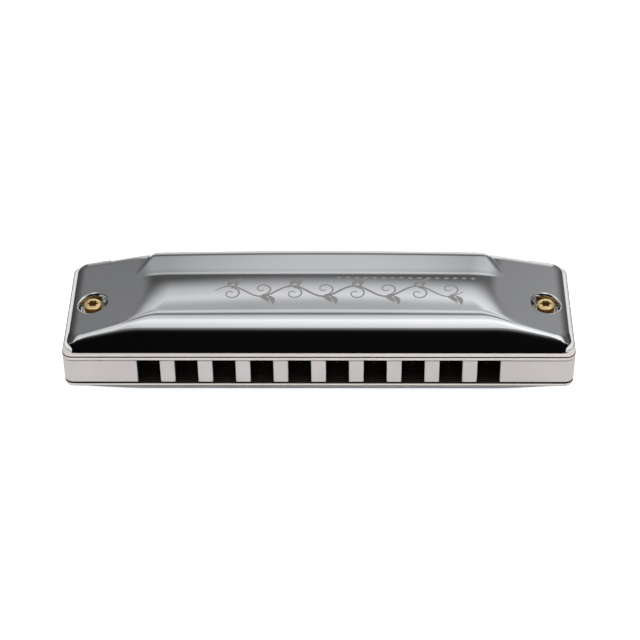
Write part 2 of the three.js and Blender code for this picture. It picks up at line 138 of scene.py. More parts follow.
def smooth_min(a, b, width):
    """The lower of two heights, rounded where they come within a width of each other."""
    overlap = np.clip(width - np.abs(a - b), 0, None) / width
    return np.minimum(a, b) - overlap * overlap * width / 4


def smooth_max(a, b, width):
    """The higher of two heights, rounded in the same way."""
    return -smooth_min(-a, -b, width)


def smooth_step(value):
    """Climbs gently from 0 to 1 as the value does, and stays level outside."""
    t = np.clip(value, 0, 1)
    return t * t * (3 - 2 * t)


def crown(u):
    """The middle of the cover: it climbs from its front crease and levels out towards the back."""
    start, end = CROWN_BENDS
    length = end - start
    turn = CROWN_FRONT_SLOPE - CROWN_BACK_SLOPE
    inside = np.clip(u - start, 0, length)
    beyond = np.clip(u - end, 0, None)
    climb = CROWN_FRONT_SLOPE * (u - CROWN_START[0])
    return CROWN_START[1] + climb - turn * (inside * inside / (2 * length) + beyond)


def inset(first, second, radius):
    """How far a point lies inside two edges that meet in a rounded corner."""
    near = (first < radius) & (second < radius)
    corner = radius - np.hypot(radius - first, radius - second)
    return np.where(near, corner, np.minimum(first, second))


def ridge(x, u):
    """The low raised band along the back. Its ends are slanted and their front corners round."""
    (x0, u0), (x1, u1) = RIDGE_END
    length = math.hypot(x1 - x0, u1 - u0)
    from_end = ((x0 - x) * (u1 - u0) + (u - u0) * (x1 - x0)) / length
    inside = inset(u - u0, from_end, RIDGE_CORNER)
    curve = np.clip(u - u0, 0, RIDGE_FRONT_CURVE)
    held_back = RIDGE_FRONT_SOFTNESS * (curve - curve * curve / (2 * RIDGE_FRONT_CURVE))
    climb = RIDGE_RISE * np.clip(u - u0 - held_back, 0, None)
    return climb * smooth_step(inside / RIDGE_EDGE)


def end_facet(x, u):
    """The sloping end, rounded off towards the side and the front corner."""
    height = END_FACET["height"] - END_FACET["fall"] * (x - END_FACET["x"])
    height = height - SIDE_ROUND * np.clip(x - SIDE_ROUND_START, 0, None) ** 2
    outward = np.clip(x - FRONT_ROUND_CENTRE[0], 0, None)
    forward = np.clip(FRONT_ROUND_CENTRE[1] - u, 0, None)
    beyond = np.clip(np.hypot(outward, forward) - FRONT_ROUND_START, 0, None)
    return height - FRONT_ROUND * beyond**2 * smooth_step(outward)


def bevel(x, u):
    """The strip between the front flank and the crown, lower towards the ends."""
    height = BEVEL_TOP[1] + BEVEL_SLOPE * (u - BEVEL_TOP[0])
    height = height - BEVEL_CURVE * np.clip(u - BEVEL_MIDDLE, -BEVEL_REACH, BEVEL_REACH) ** 2
    lower = height - END_BEVEL["fall"] * (x - END_BEVEL["x"])
    return smooth_min(height, lower, END_BEVEL["bend"])


def dimple(x, u):
    """The cup round a cover screw, and how wide a bend leads into it at each point."""
    outward, behind = x - SCREW_X, u - SCREW_DEPTH
    distance = np.hypot(outward, behind)
    climb = SHEET + DIMPLE_WALL_SLOPE * (distance - DIMPLE_FLOOR)
    cup = smooth_max(climb, SHEET + 0 * x, DIMPLE_FLOOR_BEND)
    facing = DIMPLE_SOFT_SIDE[0] * outward + DIMPLE_SOFT_SIDE[1] * behind
    softness = smooth_step(facing / np.clip(distance, 0.1, None))
    return cup, DIMPLE_EDGE_BEND + (DIMPLE_SHOULDER_BEND - DIMPLE_EDGE_BEND) * softness


def wall(x, u, closed_back):
    """Height of the walls above the plate, and how side-on they are: 0 at the front, 1 at the side."""
    across = x - (COVER_HALF_LENGTH - CORNER_RADIUS)
    ahead = COVER_FRONT + CORNER_RADIUS - u
    side = SIDE_SLOPE * (COVER_HALF_LENGTH - x)
    front = FLANK_SLOPE * (u - COVER_FRONT)
    height = np.minimum(front, side)
    turn = np.where(front < side, 0.0, 1.0)
    angle = np.arctan2(np.clip(across, 1e-6, None), np.clip(ahead, 1e-6, None))
    share = smooth_step(angle / (math.pi / 2))
    slope = FLANK_SLOPE + (SIDE_SLOPE - FLANK_SLOPE) * share
    rounded = slope * (CORNER_RADIUS - np.hypot(across, ahead))
    corner = (across > 0) & (ahead > 0)
    height = np.where(corner, rounded, height)
    turn = np.where(corner, share, turn)
    if closed_back:
        behind = u - (COVER_BACK - CORNER_RADIUS)
        back = np.where(across > 0, CORNER_RADIUS - np.hypot(across, behind), COVER_BACK - u)
        height = np.where(behind > 0, np.minimum(height, SIDE_SLOPE * back), height)
        turn = np.where(behind > 0, 1.0, turn)
    return height, turn


def cover_height(x, u, closed_back=False):
    """Height of the cover's outer face above the reed plate."""
    x = np.abs(x)
    back_share = np.clip((u - CROWN_START[0]) / CROWN_DROP_DEPTH, 0, 1)
    drop = CROWN_DROP * (x / CROWN_DROP_AT) ** 2 * back_share
    hem = np.clip(u - HEM_START, 0, None) ** 2 / (2 * HEM_RADIUS)
    top = smooth_min(crown(u) - drop, end_facet(x, u), FACET_BEND) + ridge(x, u) - hem
    top = smooth_min(top, bevel(x, u), CREASE_BEND)
    side_height, turn = wall(x, u, closed_back)
    height = smooth_min(top, side_height, RIM_BEND + RIM_BEND_MORE_AT_SIDES * turn)
    cup, cup_bend = dimple(x, u)
    return smooth_min(height, cup, cup_bend)


# ---- Mesh helpers ------------------------------------------------------------------------------


def stations(start, *stretches):
    """Evenly spaced values along stretches, each given as its end and its largest step."""
    values = [start]
    for end, step in stretches:
        begin = values[-1]
        count = max(1, math.ceil((end - begin) / step - 1e-9))
        values.extend(begin + (end - begin) * (k + 1) / count for k in range(count))
    return np.array(values)


def shares(steps):
    """Evenly spaced shares from 0 to 1."""
    return [k / steps for k in range(steps + 1)]


def finish_piece(name, mesh, material, body, nodes, sharp=40):
    """Names, shades and places a piece, and hides the CAD nodes it stands for."""
    mesh.update()
    for polygon in mesh.polygons:
        polygon.use_smooth = True
    mesh.set_sharp_from_angle(angle=math.radians(sharp))
    piece = bpy.data.objects.new(name, mesh)
    bpy.context.scene.collection.objects.link(piece)
    mesh.materials.clear()
    mesh.materials.append(material)
    if body:
        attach(piece, body)
    if nodes:
        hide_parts(*nodes)
    return piece


def mesh_from(name, points, faces):
    """A mesh in metres from points in millimetres."""
    mesh = bpy.data.meshes.new(name)
    mesh.from_pydata([tuple(p) for p in np.asarray(points) * MM], [], faces)
    mesh.validate()
    return mesh


OUTLINE_SLACK = 0.01
OUTLINE_CORNER_SLACK = 0.05


def on_outline(vertex):
    """Whether a point lies on the upright sides of the body, a rectangle with round corners."""
    reach = Vector((abs(vertex.co.x), abs(vertex.co.y))) / MM
    across = reach.x - (BODY_HALF_LENGTH - BODY_CORNER)
    behind = reach.y - (BACK - BODY_CORNER)
    if across > 0 and behind > 0:
        return math.hypot(across, behind) > BODY_CORNER - OUTLINE_CORNER_SLACK
    return max(across, behind) > BODY_CORNER - OUTLINE_SLACK


def round_edges(work, edges, width, segments):
    """Rounds chosen edges of a mesh that is being worked on."""
    bmesh.ops.bevel(
        work,
        geom=edges,
        offset=width * MM,
        segments=segments,
        profile=0.5,
        affect="EDGES",
        clamp_overlap=True,
    )


def hard_edges(work):
    """The edges where two faces meet at a sharp angle."""
    return [e for e in work.edges if e.is_manifold and e.calc_face_angle() > math.radians(40)]


def rounded_copy(node, name, material, width, only_outline=False):
    """A copy of a CAD node's shape, with its sharp edges or only the body's outline rounded."""
    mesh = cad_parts[node].data.copy()
    mesh.name = name
    work = bmesh.new()
    work.from_mesh(mesh)
    bmesh.ops.remove_doubles(work, verts=work.verts, dist=0.002 * MM)
    bmesh.ops.dissolve_limit(
        work, angle_limit=math.radians(1), verts=work.verts, edges=work.edges
    )
    edges = hard_edges(work)
    if only_outline:
        edges = [e for e in edges if all(map(on_outline, e.verts))]
    round_edges(work, edges, width, 4 if only_outline else 2)
    work.to_mesh(mesh)
    work.free()
    return finish_piece(name, mesh, material, "root", [node])


# The radius of the small flat spot that closes the middle of a turned end.
MIDDLE_SPOT = 0.02


def turned(name, rings, x, y, material, node, segments):
    """A turned piece made of rings, each a radius (or a rule for it by angle) and a height."""
    points = []
    for radius, height in rings:
        for step in range(segments):
            angle = 2 * math.pi * step / segments
            r = radius(angle) if callable(radius) else radius
            points.append((x + r * math.cos(angle), y + r * math.sin(angle), height))
    faces = []
    for ring in range(len(rings) - 1):
        low, high = ring * segments, (ring + 1) * segments
        for step in range(segments):
            after = (step + 1) % segments
            faces.append((low + step, low + after, high + after, high + step))
    faces.append(tuple(reversed(range(segments))))
    last = (len(rings) - 1) * segments
    faces.append(tuple(last + step for step in range(segments)))
    mesh = mesh_from(name, points, faces)
    return finish_piece(name, mesh, material, "root", [node], 35)


# ---- Materials ---------------------------------------------------------------------------------

# A near-black, used as painted shade inside the chambers and along the plates' rounded outer edges,
# and for the dark lines along the joints.
PAINTED_SHADE_AND_JOINT_DARK = (0.035, 0.028, 0.024)
# The chambers' part of the body, where their shade is painted in dark on the comb and the plates.
CHAMBERS_SIDE = 37.0
CHAMBERS_START = 0.45
CHAMBERS_END = 24.6
# How far out from the comb the plates' rounded outer edge lies. It is painted dark, as a painted dark
# reflection on the upper plate and a painted shadow on the lower plate.
PAINTED_RIM_SHADE = (0.77, 1.01)
COMB_JOINT = 0.22
# Painted shade on the cover screws: the band below the head's top, down its side and into its socket,
# and the brown it is mixed towards.
HEAD_SHADE_BAND = (1.6, 0.27)
HEAD_SHADE_BROWN = (0.42, 0.22, 0.05)


def new_material(name, color, metallic, roughness):
    """A new material, its node tree and its shader, with starting values."""
    material = bpy.data.materials.new(name)
    material.use_nodes = True
    shader = material.node_tree.nodes["Principled BSDF"]
    shader.inputs["Base Color"].default_value = (*color, 1)
    shader.inputs["Metallic"].default_value = metallic
    shader.inputs["Roughness"].default_value = roughness
    return material, material.node_tree, shader


def math_node(tree, operation, *values):
    """A math node whose inputs are numbers or other nodes' outputs."""
    node = tree.nodes.new("ShaderNodeMath")
    node.operation = operation
    for socket, value in zip(node.inputs, values):
        if isinstance(value, (int, float)):
            socket.default_value = value
        else:
            tree.links.new(value, socket)
    return node.outputs["Value"]


def object_noise(tree, scale, detail, stretch=(1, 1, 1)):
    """Noise fixed to the piece, with a scale per metre, stretched along the axes."""
    place = tree.nodes.new("ShaderNodeTexCoord")
    mapping = tree.nodes.new("ShaderNodeMapping")
    mapping.inputs["Scale"].default_value = stretch
    noise = tree.nodes.new("ShaderNodeTexNoise")
    noise.inputs["Scale"].default_value = scale
    noise.inputs["Detail"].default_value = detail
    tree.links.new(place.outputs["Object"], mapping.inputs["Vector"])
    tree.links.new(mapping.outputs["Vector"], noise.inputs["Vector"])
    return noise.outputs["Fac"]


def spread(tree, value, low, high, from_low=0.3, from_high=0.7, way="LINEAR"):
    """Maps a value, which is usually noise, from one range onto another."""
    ranged = tree.nodes.new("ShaderNodeMapRange")
    ranged.interpolation_type = way
    ranged.inputs["From Min"].default_value = from_low
    ranged.inputs["From Max"].default_value = from_high
    ranged.inputs["To Min"].default_value = low
    ranged.inputs["To Max"].default_value = high
    tree.links.new(value, ranged.inputs["Value"])
    return ranged.outputs["Result"]


def two_colors(tree, value, first, second):
    """Blends from one color to another over the middle range of noise."""
    ramp = tree.nodes.new("ShaderNodeValToRGB")
    for stop, position, color in zip(ramp.color_ramp.elements, (0.3, 0.7), (first, second)):
        stop.position = position
        stop.color = (*color, 1)
    tree.links.new(value, ramp.inputs["Fac"])
    return ramp.outputs["Color"]


def bump(tree, shader, value, strength, distance):
    """Small relief from a value, with a distance in millimetres."""
    node = tree.nodes.new("ShaderNodeBump")
    node.inputs["Strength"].default_value = strength
    node.inputs["Distance"].default_value = distance * MM
    tree.links.new(value, node.inputs["Height"])
    tree.links.new(node.outputs["Normal"], shader.inputs["Normal"])


def chrome_material():
    """Polished chrome: mirror bright, with faint polishing haze and hairlines."""
    material, tree, shader = new_material("cover_chrome", (0.93, 0.935, 0.945), 1, 0.05)
    haze = object_noise(tree, 90, 4)
    hairlines = object_noise(tree, 900, 3, (0.06, 1, 1))
    tint = two_colors(tree, haze, (0.885, 0.90, 0.92), (0.935, 0.945, 0.965))
    tree.links.new(tint, shader.inputs["Base Color"])
    tree.links.new(spread(tree, haze, 0.035, 0.075), shader.inputs["Roughness"])
    bump(tree, shader, hairlines, 0.04, 0.002)
    return material


def within(tree, value, low, high):
    """1 where a value lies between two bounds, and 0 elsewhere."""
    above = math_node(tree, "GREATER_THAN", value, low * MM)
    below = math_node(tree, "LESS_THAN", value, high * MM)
    return math_node(tree, "MULTIPLY", above, below)


def darkened(tree, color, bands, shade=PAINTED_SHADE_AND_JOINT_DARK):
    """Mixes a color towards a dark shade where any of the bands is 1."""
    share = bands[0]
    for band in bands[1:]:
        share = math_node(tree, "MAXIMUM", share, band)
    mix = tree.nodes.new("ShaderNodeMixRGB")
    mix.inputs["Color2"].default_value = (*shade, 1)
    tree.links.new(share, mix.inputs["Fac"])
    tree.links.new(color, mix.inputs["Color1"])
    return mix.outputs["Color"]


def object_axes(tree):
    """The x, y and z of a point on the piece, in metres."""
    place = tree.nodes.new("ShaderNodeTexCoord")
    parts = tree.nodes.new("ShaderNodeSeparateXYZ")
    tree.links.new(place.outputs["Object"], parts.inputs["Vector"])
    return tuple(parts.outputs[axis] for axis in "XYZ")


def chamber_shade_mask(tree, x, y):
    """1 within the ten chambers' part of the body, from just inside the mouthpiece. It marks where the
    chambers' shade is painted in dark.
    """
    deep = within(tree, y, FRONT + CHAMBERS_START, FRONT + CHAMBERS_END)
    return math_node(tree, "MULTIPLY", deep, within(tree, x, -CHAMBERS_SIDE, CHAMBERS_SIDE))


def plate_material(name, inner_face, outward, joint):
    """Warm nickel-silver plate with fine streaks, dark in its joint, with painted shade where it faces
    into the chambers and a painted dark line along its rounded outer edge.

    The inner face is the height of the face on the comb, outward is 1 for up or -1 for down, and
    the joint is the height of the dark line beside the comb.
    """
    material, tree, shader = new_material(name, (0.86, 0.81, 0.75), 0.5, 0.25)
    streaks = object_noise(tree, 1600, 4, (0.03, 1, 1))
    patches = object_noise(tree, 60, 3)
    tint = two_colors(tree, patches, (0.83, 0.78, 0.72), (0.90, 0.85, 0.79))
    x, y, z = object_axes(tree)
    out = math_node(tree, "MULTIPLY_ADD", z, outward, -outward * inner_face * MM)
    on_inner_face = within(tree, out, -1, 0.02)
    # Painted shade: the plate's inner face is darkened where it shows inside the chambers.
    chamber_face_shade = math_node(tree, "MULTIPLY", chamber_shade_mask(tree, x, y), on_inner_face)
    # The bands: painted chamber shade, the dark joint line and the painted dark rim.
    bands = [chamber_face_shade, within(tree, out, -1, joint), within(tree, out, *PAINTED_RIM_SHADE)]
    tree.links.new(darkened(tree, tint, bands), shader.inputs["Base Color"])
    tree.links.new(spread(tree, streaks, 0.16, 0.32), shader.inputs["Roughness"])
    bump(tree, shader, streaks, 0.12, 0.006)
    return material


def comb_material():
    """Blasted and anodised aluminium, slightly pink, with painted shade in its chambers and dark in
    its lower joint.
    """
    material, tree, shader = new_material("comb_aluminium", (0.78, 0.73, 0.73), 0.45, 0.45)
    grain = object_noise(tree, 6000, 3)
    clouds = object_noise(tree, 140, 3)
    tint = two_colors(tree, clouds, (0.76, 0.71, 0.71), (0.81, 0.76, 0.76))
    x, y, z = object_axes(tree)
    joint = within(tree, z, COMB_BOTTOM - 1, COMB_BOTTOM + COMB_JOINT)
    # Painted shade inside the chambers, and a dark line along the lower joint.
    bands = [chamber_shade_mask(tree, x, y), joint]
    tree.links.new(darkened(tree, tint, bands), shader.inputs["Base Color"])
    tree.links.new(spread(tree, grain, 0.38, 0.52), shader.inputs["Roughness"])
    bump(tree, shader, grain, 0.15, 0.008)
    return material


def metal_material(name, first, second, low, high, stretch=(1, 1, 1)):
    """Bare metal between two colors and two roughnesses, with fine marks that can be stretched."""
    material, tree, shader = new_material(name, first, 1, low)
    marks = object_noise(tree, 2500, 4, stretch)
    patches = object_noise(tree, 260, 3)
    tree.links.new(two_colors(tree, patches, first, second), shader.inputs["Base Color"])
    tree.links.new(spread(tree, marks, low, high), shader.inputs["Roughness"])
    bump(tree, shader, marks, 0.18, 0.006)
    return material


def screw_material():
    """Bright gold plate, with painted shade that turns it browner down the side of the head and inside
    the socket.
    """
    material, tree, shader = new_material("cover_screw_gold", (0.98, 0.76, 0.41), 0.75, 0.1)
    marks = object_noise(tree, 2500, 4, (1, 1, 0.2))
    patches = object_noise(tree, 260, 3)
    tint = two_colors(tree, patches, (0.97, 0.73, 0.36), (1.0, 0.81, 0.47))
    height = object_axes(tree)[2]
    # Painted shade: the head's side and the socket are mixed towards brown.
    side = within(tree, height, *(SCREW_TOP - below for below in HEAD_SHADE_BAND))
    tree.links.new(darkened(tree, tint, [side], HEAD_SHADE_BROWN), shader.inputs["Base Color"])
    tree.links.new(spread(tree, marks, 0.08, 0.16), shader.inputs["Roughness"])
    bump(tree, shader, marks, 0.18, 0.006)
    return material


def engraving_material():
    """Etched lines: frosted and a little darker than the chrome round them."""
    material, tree, shader = new_material("cover_engraving", (0.55, 0.55, 0.56), 1, 0.4)
    grain = object_noise(tree, 9000, 2)
    tint = two_colors(tree, grain, (0.48, 0.48, 0.49), (0.64, 0.64, 0.65))
    tree.links.new(tint, shader.inputs["Base Color"])
    tree.links.new(spread(tree, grain, 0.32, 0.5), shader.inputs["Roughness"])
    return material


chrome = chrome_material()
upper_nickel = plate_material("upper_plate_nickel", COMB_TOP, 1, 0.06)
lower_nickel = plate_material("lower_plate_nickel", COMB_BOTTOM, -1, 0.3)
aluminium = comb_material()
reed_brass = metal_material(
    "reed_brass", (0.72, 0.52, 0.24), (0.83, 0.66, 0.36), 0.24, 0.42, stretch=(1, 0.1, 1)
)
rivet_brass = metal_material("rivet_brass", (0.66, 0.47, 0.22), (0.80, 0.62, 0.34), 0.22, 0.4)
gold = screw_material()
steel = metal_material("plate_screw_steel", (0.50, 0.50, 0.49), (0.62, 0.62, 0.61), 0.25, 0.4)
etched = engraving_material()

# ---- Covers ------------------------------------------------------------------------------------
# Each stretch of columns or rows is where it ends and how far apart its lines are at most.

COLUMN_STRETCHES = [(29, 1.0), (BACK_OPENING, 0.2), (BACK_OPENING + OPENING_GAP, 1)]
COLUMN_STRETCHES += [(49.4, 0.16), (50.2, 0.1), (COVER_HALF_LENGTH, 0.05)]
ROW_STRETCHES = [(3.2, 0.15), (8.4, 0.12), (16.2, 0.16), (18, 0.3), (18.9, 0.08)]
ROW_STRETCHES += [(ROLL_START, 0.2)]
TAIL_ROWS = 32
SLOPE_STEP = 1e-4


def cover_normals(x, u, closed_back=False):
    """Upward normals of the cover's outer face."""
    right, left = (cover_height(x + step, u, closed_back) for step in (SLOPE_STEP, -SLOPE_STEP))
    behind, ahead = (cover_height(x, u + step, closed_back) for step in (SLOPE_STEP, -SLOPE_STEP))
    run = np.full_like(right, 2 * SLOPE_STEP)
    normals = np.stack([left - right, ahead - behind, run], axis=-1)
    return normals / np.linalg.norm(normals, axis=-1, keepdims=True)


def back_wall(columns, rounding, turn):
    """Rows of points and normals over the closed part of the back, and down it."""
    u = ROLL_START + (COVER_BACK - ROLL_START) * np.sin(turn * math.pi / 2) + 0 * columns
    u = np.clip(u, COVER_FRONT + rounding, COVER_BACK - rounding)
    x = columns + 0 * u
    points = np.stack([x, u, cover_height(x, u, True)], axis=-1)
    return points, cover_normals(x, u, True)


def rolled_edge(last_row, last_normals, turn):
    """Rows of points and normals that roll the rear edge down over the open part of the back."""
    start = np.arctan2(last_normals[:, 2], last_normals[:, 1])
    angle = start + (ROLL_END - start) * turn
    u = last_row[:, 1] + ROLL_RADIUS * (np.cos(angle) - np.cos(start))
    z = last_row[:, 2] + ROLL_RADIUS * (np.sin(angle) - np.sin(start))
    points = np.stack([last_row[:, 0] + 0 * angle, u, z], axis=-1)
    fall = last_normals[:, 0] / last_normals[:, 2]
    normals = np.stack([fall * np.sin(angle), np.cos(angle), np.sin(angle)], axis=-1)
    return points, normals / np.linalg.norm(normals, axis=-1, keepdims=True)


def cover_grid():
    """Points and normals of the outer face by row and column, the closed columns and the top rows."""
    half = stations(0, *COLUMN_STRETCHES)
    columns = np.concatenate([-half[:0:-1], half])
    rows = stations(COVER_FRONT, *ROW_STRETCHES)
    closed = np.abs(columns) > BACK_OPENING + OPENING_GAP / 2
    edge = np.clip(np.abs(columns) - (COVER_HALF_LENGTH - CORNER_RADIUS), 0, CORNER_RADIUS)
    rounding = CORNER_RADIUS - np.sqrt(CORNER_RADIUS**2 - edge**2)
    x, u = np.meshgrid(columns, rows)
    u = np.clip(u, COVER_FRONT + rounding, COVER_BACK - rounding)
    top = np.stack([x, u, np.where(closed, cover_height(x, u, True), cover_height(x, u))], axis=-1)
    pick = closed[None, :, None]
    normals = np.where(pick, cover_normals(x, u, True), cover_normals(x, u))

    turn = stations(0, (1, 1 / TAIL_ROWS))[1:, None]
    wall_points, wall_normals = back_wall(columns, rounding, turn)
    roll_points, roll_normals = rolled_edge(top[-1], normals[-1], turn)
    points = np.concatenate([top, np.where(pick, wall_points, roll_points)])
    normals = np.concatenate([normals, np.where(pick, wall_normals, roll_normals)])
    points[..., 2] = np.clip(points[..., 2], 0, None)
    return points, normals, closed, len(rows)


def joined(index, points):
    """Gives neighbours in a column that lie on one spot the same number."""
    for row in range(1, len(points)):
        same = np.linalg.norm(points[row] - points[row - 1], axis=-1) < 1e-5
        index[row] = np.where(same, index[row - 1], index[row])
    return index


def skin_faces(index, closed, top_rows):
    """Faces of the outer skin, left apart where the closed back ends and the open back starts."""
    faces = []
    row_count, column_count = index.shape
    for row in range(row_count - 1):
        for column in range(column_count - 1):
            if row >= top_rows - 1 and closed[column] != closed[column + 1]:
                continue
            corners = [index[row, column], index[row, column + 1]]
            corners += [index[row + 1, column + 1], index[row + 1, column]]
            kept = [c for k, c in enumerate(corners) if c != corners[k - 1]]
            if len(kept) > 2:
                faces.append(kept)
    return faces


def make_cover(name, node, face, up):
    """A pressed cover that stands on a plate's outer face and rises in the up direction, 1 or -1."""
    points, normals, closed, top_rows = cover_grid()
    inner = points - SHEET * normals
    inner[..., 2] = np.clip(inner[..., 2], 0, None)
    grid = points.shape[:2]
    offset = grid[0] * grid[1]
    index = joined(np.arange(offset).reshape(grid), points)
    skin = skin_faces(index, closed, top_rows)
    edges = {(f[k - 1], f[k]) for f in skin for k in range(len(f))}
    rims = [(b, a, a + offset, b + offset) for a, b in edges if (b, a) not in edges]
    lining = [[c + offset for c in reversed(f)] for f in skin]
    faces = [tuple(int(c) for c in f) for f in skin + rims + lining]
    if up < 0:
        faces = [tuple(reversed(f)) for f in faces]
    shell = np.concatenate([points.reshape(-1, 3), inner.reshape(-1, 3)])
    mesh = mesh_from(name, shell * (1, 1, up) + (0, FRONT, face), faces)
    work = bmesh.new()
    work.from_mesh(mesh)
    loose = [v for v in work.verts if not v.link_faces]
    bmesh.ops.delete(work, geom=loose, context="VERTS")
    work.to_mesh(mesh)
    work.free()
    return finish_piece(name, mesh, chrome, "root", [node], 50)


make_cover("upper_cover_shell", "upper_cover", UPPER_PLATE_FACE, 1)
make_cover("lower_cover_shell", "lower_cover", LOWER_PLATE_FACE, -1)

# ---- Ornament: a scrolling vine and a row of lozenges on the upper cover ------------------------

ORNAMENT_RISE = 0.012
ORNAMENT_BOTTOM = -0.05

STEM_SPAN = (-21.0, 29.0)
STEM_DEPTH = 13.2
STEM_SWING = 1.5
STEM_WAVE = 12.5
STEM_STEPS = 160
STEM_WIDTH = 0.42
STEM_END_WIDTH = 0.05

SCROLL_START = 0.35
SCROLL_STEPS = 48
SCROLL_RADIUS = 2.0
SCROLL_TURN = 2.3 * math.pi
SCROLL_TIGHTENING = 0.82
SCROLL_FLATNESS = 0.9
SCROLL_CENTRE = 1.2
SCROLL_WIDTHS = (0.34, 0.18)

LEAF_STEPS = 16
LEAF_LENGTH = 3.0
LEAF_WIDTH = 1.0
LEAF_END_WIDTH = 0.04
LEAF_CURL = 0.5
LEAF_PLACES = {0.4: 0.7, 2.2: 1.15}

LOZENGES = 16
LOZENGE_SPAN = (4.0, 31.0)
LOZENGE_DEPTH = 17.2
LOZENGE_LENGTH = 1.24
LOZENGE_WIDTHS = (0.04, 0.8, 0.04)


def engraved_stroke(path, widths):
    """A thin closed strip on the upper cover, along a path of (x, depth) points with given widths."""
    path = np.array(path)
    along = np.gradient(path, axis=0)
    along /= np.linalg.norm(along, axis=1, keepdims=True)
    aside = np.stack([-along[:, 1], along[:, 0]], axis=1) * np.array(widths)[:, None] / 2
    points = []
    for rise in (ORNAMENT_RISE, ORNAMENT_BOTTOM):
        for edge in (path - aside, path + aside):
            heights = cover_height(edge[:, 0], edge[:, 1]) + rise
            points.append(np.column_stack([edge, heights]))
    return np.concatenate(points) + (0, FRONT, UPPER_PLATE_FACE)


def stroke_faces(count, offset):
    """Faces of a stroke whose four edge lines hold count points each, numbered from an offset."""
    right, left, low_right, low_left = (offset + line * count for line in range(4))
    sides = ((left, right), (low_right, low_left), (right, low_right), (low_left, left))
    faces = []
    for k in range(count - 1):
        for first, second in sides:
            faces.append((first + k, second + k, second + k + 1, first + k + 1))
    faces.append((right, left, low_left, low_right))
    last = count - 1
    faces.append((left + last, right + last, low_right + last, low_left + last))
    return faces


def stem_depth(x):
    """How far behind the body's front the stem lies."""
    return STEM_DEPTH + STEM_SWING * math.sin(2 * math.pi * (x - STEM_SPAN[0]) / STEM_WAVE)


def vine_stem():
    """The waving stem, widest in the middle."""
    start, end = STEM_SPAN
    places = [start + (end - start) * t for t in shares(STEM_STEPS)]
    path = [(x, stem_depth(x)) for x in places]
    swells = [math.sin(math.pi * t) ** 0.4 for t in shares(STEM_STEPS)]
    return path, [STEM_END_WIDTH + STEM_WIDTH * swell for swell in swells]


def vine_scroll(x, side):
    """A tendril that leaves the stem and curls up, to the back for side 1 or the front for -1."""
    centre_x, centre_u = x + SCROLL_CENTRE, stem_depth(x) + side * SCROLL_RADIUS
    path, widths = [], []
    for t in shares(SCROLL_STEPS):
        angle = side * (SCROLL_TURN * t - math.pi / 2)
        radius = SCROLL_RADIUS * (1 - SCROLL_TIGHTENING * t)
        along, aside = radius * math.cos(angle), radius * math.sin(angle) * SCROLL_FLATNESS
        path.append((centre_x + along, centre_u + aside))
        widths.append(SCROLL_WIDTHS[0] + (SCROLL_WIDTHS[1] - SCROLL_WIDTHS[0]) * t)
    return path, widths


def vine_leaf(x, heading):
    """A pointed leaf that starts on the stem."""
    base = stem_depth(x)
    path, widths = [], []
    for t in shares(LEAF_STEPS):
        reach = LEAF_LENGTH * t
        bend = LEAF_CURL * math.sin(math.pi * t)
        leaf_x = x + reach * math.cos(heading) - bend * math.sin(heading)
        leaf_u = base + reach * math.sin(heading) + bend * math.cos(heading)
        path.append((leaf_x, leaf_u))
        widths.append(LEAF_END_WIDTH + LEAF_WIDTH * math.sin(math.pi * t) ** 1.3)
    return path, widths


def lozenge(number):
    """One small diamond of the row."""
    start, end = LOZENGE_SPAN
    x = start + (end - start) * number / (LOZENGES - 1)
    path = [(x + step * LOZENGE_LENGTH / 2, LOZENGE_DEPTH) for step in (-1, 0, 1)]
    return path, LOZENGE_WIDTHS


def make_ornament():
    """All strokes of the vine and the lozenges, as one piece."""
    strokes = [vine_stem()]
    start, end = STEM_SPAN
    half_wave = STEM_WAVE / 2
    for bend in range(int((end - start) / half_wave)):
        x = start + (bend + SCROLL_START) * half_wave
        side = -1 if bend % 2 == 0 else 1
        strokes.append(vine_scroll(x, side))
        for ahead, heading in LEAF_PLACES.items():
            strokes.append(vine_leaf(x + ahead, -side * heading))
    strokes += [lozenge(number) for number in range(LOZENGES)]
    points, faces = [], []
    for path, widths in strokes:
        offset = sum(len(block) for block in points)
        points.append(engraved_stroke(path, widths))
        faces += stroke_faces(len(path), offset)
    mesh = mesh_from("upper_cover_engraving", np.concatenate(points), faces)
    finish_piece("upper_cover_engraving", mesh, etched, "root", [], 30)


make_ornament()

# ---- Comb and reed plates ----------------------------------------------------------------------

COMB_ROUNDING = 0.2
PLATE_ROUNDING = 0.3

rounded_copy("comb", "comb_body", aluminium, COMB_ROUNDING, True)
for plate, nickel in (("upper_reed_plate", upper_nickel), ("lower_reed_plate", lower_nickel)):
    rounded_copy(plate, f"{plate}_body", nickel, PLATE_ROUNDING, True)

# ---- Reeds and rivets --------------------------------------------------------------------------

FOOT_LENGTH = 3.2
FOOT_WIDTH = 2.8
FOOT_THICKNESS = 0.4
FOOT_CHAMFER = 0.4
TONGUE_WIDTH = 2.1
TONGUE_START = 0.15
TONGUE_SECTIONS = 14
TONGUE_THICKNESS = 0.24
TONGUE_WAIST = 0.15
THIN_TIP = 0.12
TIP_GAP = 0.24
SEAT = 0.01
REED_EDGE = 0.035
RIVET_HEAD = 0.95
RIVET_SHANK = 0.5
RIVET_TAIL = 0.8
# Shares of a radius, and how far each lies beyond the plate or the foot.
RIVET_DOME = [(0.45, 0.36), (0.8, 0.26), (0.97, 0.1), (1, 0)]
RIVET_DOME_HEIGHT = 0.38
RIVET_TAIL_CURVE = [(1, 0), (0.95, 0.12), (0.7, 0.22), (0.35, 0.26)]
RIVET_TAIL_HEIGHT = 0.265


